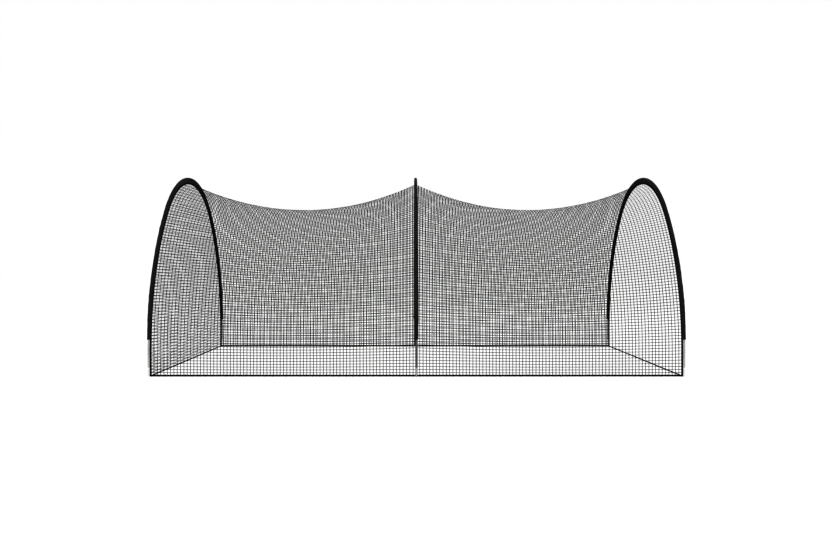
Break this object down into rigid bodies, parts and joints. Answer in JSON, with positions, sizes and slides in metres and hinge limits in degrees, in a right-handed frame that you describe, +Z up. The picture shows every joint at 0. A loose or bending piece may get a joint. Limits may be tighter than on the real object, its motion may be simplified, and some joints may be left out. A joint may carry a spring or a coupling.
{
  "type": "golf practice net",
  "caption": "Netted tunnel cage: square-mesh net sleeved over arched tube hoops, closed at one end and open at the other, on sliding ground stakes.",
  "frame": {"origin": "on the ground, in the middle of the cage", "axes": "+X along the tunnel towards its open end, +Y across it towards the back wall, +Z up"},
  "size_m": [6.134, 3.1996, 2.4575],
  "materials": {
    "pole_steel": "satin grey powder coat",
    "spigot_steel": "plain steel",
    "stake_zinc": "zinc plated",
    "sleeve_fabric": "black woven polyester",
    "net_twine": "black knotted twine, 38 mm square mesh",
    "rope": "black twisted rope"
  },
  "bodies": {
    "cage": {"closed_end_front_lower_pole": "pole_steel", "closed_end_front_upper_pole": "pole_steel", "closed_end_front_crown_pole": "pole_steel", "closed_end_back_lower_pole": "pole_steel", "closed_end_back_upper_pole": "pole_steel", "closed_end_back_crown_pole": "pole_steel", "middle_front_lower_pole": "pole_steel", "middle_front_upper_pole": "pole_steel", "middle_front_crown_pole": "pole_steel", "middle_back_lower_pole": "pole_steel", "middle_back_upper_pole": "pole_steel", "middle_back_crown_pole": "pole_steel", "open_end_front_lower_pole": "pole_steel", "open_end_front_upper_pole": "pole_steel", "open_end_front_crown_pole": "pole_steel", "open_end_back_lower_pole": "pole_steel", "open_end_back_upper_pole": "pole_steel", "open_end_back_crown_pole": "pole_steel", "closed_end_pole_spigots": "spigot_steel", "middle_pole_spigots": "spigot_steel", "open_end_pole_spigots": "spigot_steel", "closed_end_pole_sleeve": "sleeve_fabric", "middle_pole_sleeve": "sleeve_fabric", "open_end_pole_sleeve": "sleeve_fabric", "closed_bay_net": "net_twine", "open_bay_net": "net_twine", "end_wall_net": "net_twine", "closed_end_edge_rope": "rope", "middle_edge_rope": "rope", "open_end_edge_rope": "rope", "front_hem_rope": "rope", "back_hem_rope": "rope", "closed_end_hem_rope": "rope", "open_end_hem_rope": "rope"},
    "closed_end_front_stake": {"closed_end_front_ground_stake": "stake_zinc"},
    "closed_end_back_stake": {"closed_end_back_ground_stake": "stake_zinc"},
    "middle_front_stake": {"middle_front_ground_stake": "stake_zinc"},
    "middle_back_stake": {"middle_back_ground_stake": "stake_zinc"},
    "open_end_front_stake": {"open_end_front_ground_stake": "stake_zinc"},
    "open_end_back_stake": {"open_end_back_ground_stake": "stake_zinc"}
  },
  "joints": [
    {"name": "closed_end_front_stake_slide", "type": "slide", "parent": "cage", "child": "closed_end_front_stake", "axis": [0, 0, -1], "range_m": [0, 0.15]},
    {"name": "closed_end_back_stake_slide", "type": "slide", "parent": "cage", "child": "closed_end_back_stake", "axis": [0, 0, -1], "range_m": [0, 0.15]},
    {"name": "middle_front_stake_slide", "type": "slide", "parent": "cage", "child": "middle_front_stake", "axis": [0, 0, -1], "range_m": [0, 0.15]},
    {"name": "middle_back_stake_slide", "type": "slide", "parent": "cage", "child": "middle_back_stake", "axis": [0, 0, -1], "range_m": [0, 0.15]},
    {"name": "open_end_front_stake_slide", "type": "slide", "parent": "cage", "child": "open_end_front_stake", "axis": [0, 0, -1], "range_m": [0, 0.15]},
    {"name": "open_end_back_stake_slide", "type": "slide", "parent": "cage", "child": "open_end_back_stake", "axis": [0, 0, -1], "range_m": [0, 0.15]}
  ]
}
